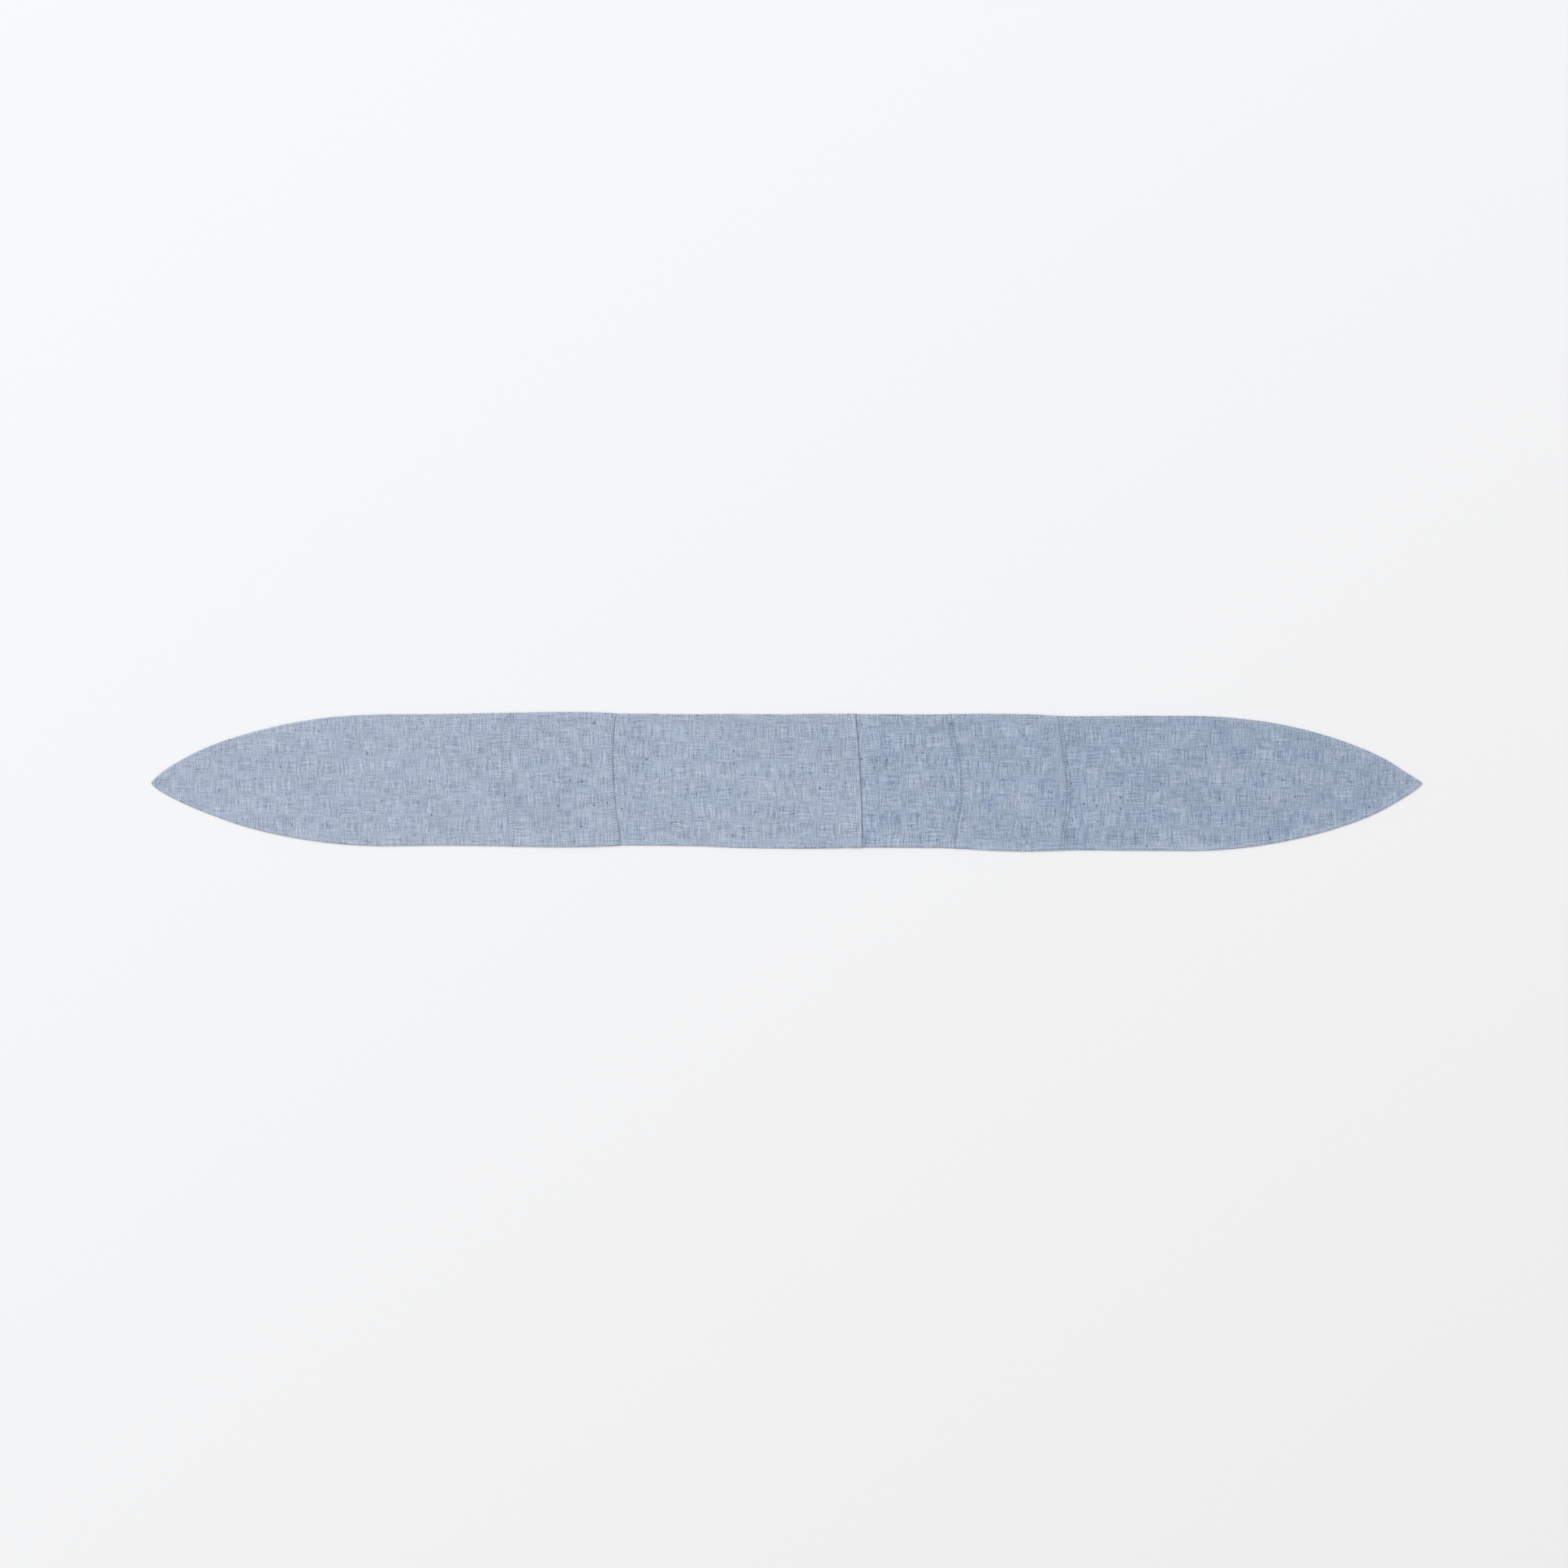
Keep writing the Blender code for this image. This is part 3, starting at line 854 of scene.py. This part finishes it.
def thread_material(name, light, dark, depth):
    """Plied thread: two plies winding round each other, with painted shade where it goes into the cloth."""
    n = Nodes(name)
    uv = n.add("ShaderNodeUVMap", uv_map="thread").outputs["UV"]
    sep = n.add("ShaderNodeSeparateXYZ")
    n.put(sep.inputs[0], uv)
    turn = n.math("ADD", n.math("MULTIPLY", sep.outputs[0], 2 * math.pi / 0.0011), n.math("MULTIPLY", sep.outputs[1], 4 * math.pi))
    ply = n.math("SINE", turn)
    fuzz = n.noise(n.scaled(uv, 1 / 0.0003, 9.0), 2.0, 0.6)
    base = n.mix(n.math("ADD", n.math("MULTIPLY", ply, 0.16), n.math("ADD", n.math("MULTIPLY", fuzz, 0.4), 0.35), clamp=True), dark, light)
    sunk = n.add("ShaderNodeAttribute", attribute_name="sunk").outputs["Fac"]
    # Painted shade at the stitch's ends, where the thread goes down into its needle hole; depth sets how dark.
    colour = n.mix(n.math("MULTIPLY", n.ramp(sunk, 0.52, 0.92), depth), base, linear(64, 76, 102))
    n.put(n.bsdf.inputs["Base Color"], colour)
    n.bsdf.inputs["Specular IOR Level"].default_value = 0.35
    n.put(n.bsdf.inputs["Roughness"], n.math("ADD", n.math("MULTIPLY", fuzz, 0.2), 0.55))
    n.bsdf.inputs["Sheen Weight"].default_value = 0.15
    bump = n.add("ShaderNodeBump")
    bump.inputs["Strength"].default_value = 0.6
    bump.inputs["Distance"].default_value = 0.00008
    n.put(bump.inputs["Height"], n.math("ADD", ply, n.math("MULTIPLY", fuzz, 0.5)))
    n.put(n.bsdf.inputs["Normal"], bump.outputs["Normal"])
    return n.mat


def dress(obj, mat):
    obj.data.materials.clear()
    obj.data.materials.append(mat)


DYES = {
    "left_end": ((0.942, 0.945, 0.935), 0.30, 0.91),
    "left_band": ((0.922, 0.945, 0.932), 0.35, 0.96),
    "centre": ((0.942, 0.966, 0.956), 0.45, 0.97),
    "underlap": ((0.901, 0.937, 0.941), 0.70, 1.14),
    "right_band": ((0.890, 0.932, 0.937), 0.80, 1.00),
    "right_end": ((0.886, 0.926, 0.940), 0.75, 1.04),
    "back": ((0.930, 0.950, 0.945), 0.40, 0.92),
}


def dyed(panel):
    return chambray(f"chambray_{panel}", PIECE_OFFSET[panel], *DYES[panel])


dress(left_end, dyed("left_end"))
dress(left_band, dyed("left_band"))
dress(centre, dyed("centre"))
dress(underlap, dyed("underlap"))
dress(right_band, dyed("right_band"))
dress(right_end, dyed("right_end"))
back_mat = dyed("back")
dress(left_back, back_mat)
dress(right_back, back_mat)

row_thread = thread_material("seam_thread_look", linear(236, 242, 250), linear(196, 207, 224), 0.92)
rim_thread = thread_material("edge_thread_look", linear(222, 229, 239), linear(178, 190, 208), 0.75)
# Over the right band the photo's rows read as dark dots, so their thread is nearer the cloth's blue.
band_thread = thread_material("right_band_thread_look", linear(184, 195, 216), linear(150, 163, 190), 0.95)
for number, obj in seam_threads.items():
    dress(obj, band_thread if number > 3 else row_thread)
dress(edge_left, rim_thread)
dress(edge_right, rim_thread)

# ---------------------------------------------------------- bodies and joints


def fold_left(obj):
    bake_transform(obj, "middle", "left_end", start=(FOLD_L[0] + FOLD_REACH, 0, 0), end=(FOLD_L[0] - FOLD_REACH, 0, 0))


def fold_right(obj):
    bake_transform(obj, "middle", "right_end", start=(FOLD_R[0] - FOLD_REACH, 0, 0), end=(FOLD_R[0] + FOLD_REACH, 0, 0))


def lift_lip(obj):
    """The lip turns up about its hinge line, most in the middle: its two sides are held by the outline's stitching."""
    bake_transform(obj, "middle", "lip", start=(LIFT[0], 0, 0), end=(LIFT[0] + 0.020, 0, 0))
    count = len(obj.data.vertices)
    co = np.empty(count * 3, np.float32)
    obj.data.vertices.foreach_get("co", co)
    y = np.abs(co.reshape(-1, 3)[:, 1].astype(float) - 0.0009) / 0.0650
    bow = np.clip(1 - y**2.6, 0, 1)
    w = np.empty(count, np.float32)
    weights = obj.data.attributes["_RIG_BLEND"].data
    weights.foreach_get("value", w)
    weights.foreach_set("value", (w * bow).astype(np.float32))


for obj in (left_end, left_back, edge_left):
    fold_left(obj)
for obj in (right_end, right_back, edge_right):
    fold_right(obj)
for obj in (centre, seam_threads[3]):
    lift_lip(obj)
for obj in (left_band, underlap, right_band, seam_threads[1], seam_threads[2], seam_threads[4], seam_threads[5]):
    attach(obj, "middle")

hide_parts("left_end_panel", "left_lap")
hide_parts("left_band_panel")
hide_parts("centre_panel", "pocket_lip")
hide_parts("underlap_panel")
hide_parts("right_band_panel")
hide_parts("right_end_panel", "right_lap")
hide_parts("back_left", "back_middle")
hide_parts("back_right")
for number, obj in seam_threads.items():
    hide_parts(f"seam_thread_{number}")
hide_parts("edge_thread_left", "edge_thread_far", "edge_thread_near")
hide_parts("edge_thread_right")


def cut_area(cols, width_of):
    return float(np.sum((width_of(cols)[1:] + width_of(cols)[:-1]) * np.diff(cols)))


lx = np.linspace(-TIP, -0.2953 + ALLOWANCE, 400)
rx = np.linspace(0.2933 - ALLOWANCE, TIP, 400)
cut_area(lx, half)
cut_area(rx, half)
bl = np.linspace(-TIP, BACK_JOIN, 400)
br = np.linspace(BACK_JOIN, TIP, 400)
cut_area(bl, back_half)
cut_area(br, back_half)

# --------------------------------------------------------------- floor, light
scene = bpy.context.scene
bpy.ops.mesh.primitive_plane_add(size=60, location=(0, 0, -0.0001))
floor = bpy.context.object
floor.name = "floor"
n = Nodes("pale_floor")
pos = n.add("ShaderNodeNewGeometry").outputs["Position"]
sep = n.add("ShaderNodeSeparateXYZ")
n.put(sep.inputs[0], pos)
# Painted light fall-off: the floor is painted darker and warmer towards the lower right, as if the light fell away
# there.
diagonal = n.math("SUBTRACT", n.math("MULTIPLY", sep.outputs[0], 0.75), sep.outputs[1])
painted_falloff = n.ramp(diagonal, -1.45, 1.45)
painted_falloff.node.interpolation_type = "LINEAR"
n.put(n.bsdf.inputs["Base Color"], n.mix(painted_falloff, (0.888, 0.909, 0.922, 1), (0.812, 0.798, 0.799, 1)))
n.bsdf.inputs["Roughness"].default_value = 0.95
n.bsdf.inputs["Specular IOR Level"].default_value = 0.1
dress(floor, n.mat)

world = bpy.data.worlds.new("soft_studio")
scene.world = world
world.use_nodes = True
world.node_tree.nodes["Background"].inputs["Color"].default_value = (0.985, 0.992, 1.0, 1)
world.node_tree.nodes["Background"].inputs["Strength"].default_value = 0.675

sun = bpy.data.objects.new("soft_key", bpy.data.lights.new("soft_key", "SUN"))
sun.data.energy = 1.8
sun.data.angle = math.radians(42)
sun.data.color = (1.0, 0.998, 0.995)
sun.rotation_euler = (math.radians(-38), math.radians(-30), 0)
scene.collection.objects.link(sun)

scene.view_settings.view_transform = "Standard"
scene.view_settings.look = "None"
scene.view_settings.exposure = 0.0
scene.view_settings.gamma = 1.0

cam = bpy.data.objects.new("camera", bpy.data.cameras.new("camera"))
cam.data.sensor_width = 36
cam.data.lens = 100
cam.location = (-0.0030, -0.0026, 1.6422 * 100 / 36 + 0.001)
cam.rotation_euler = (0, 0, 0)
cam.data.clip_end = 50
scene.collection.objects.link(cam)
scene.camera = cam
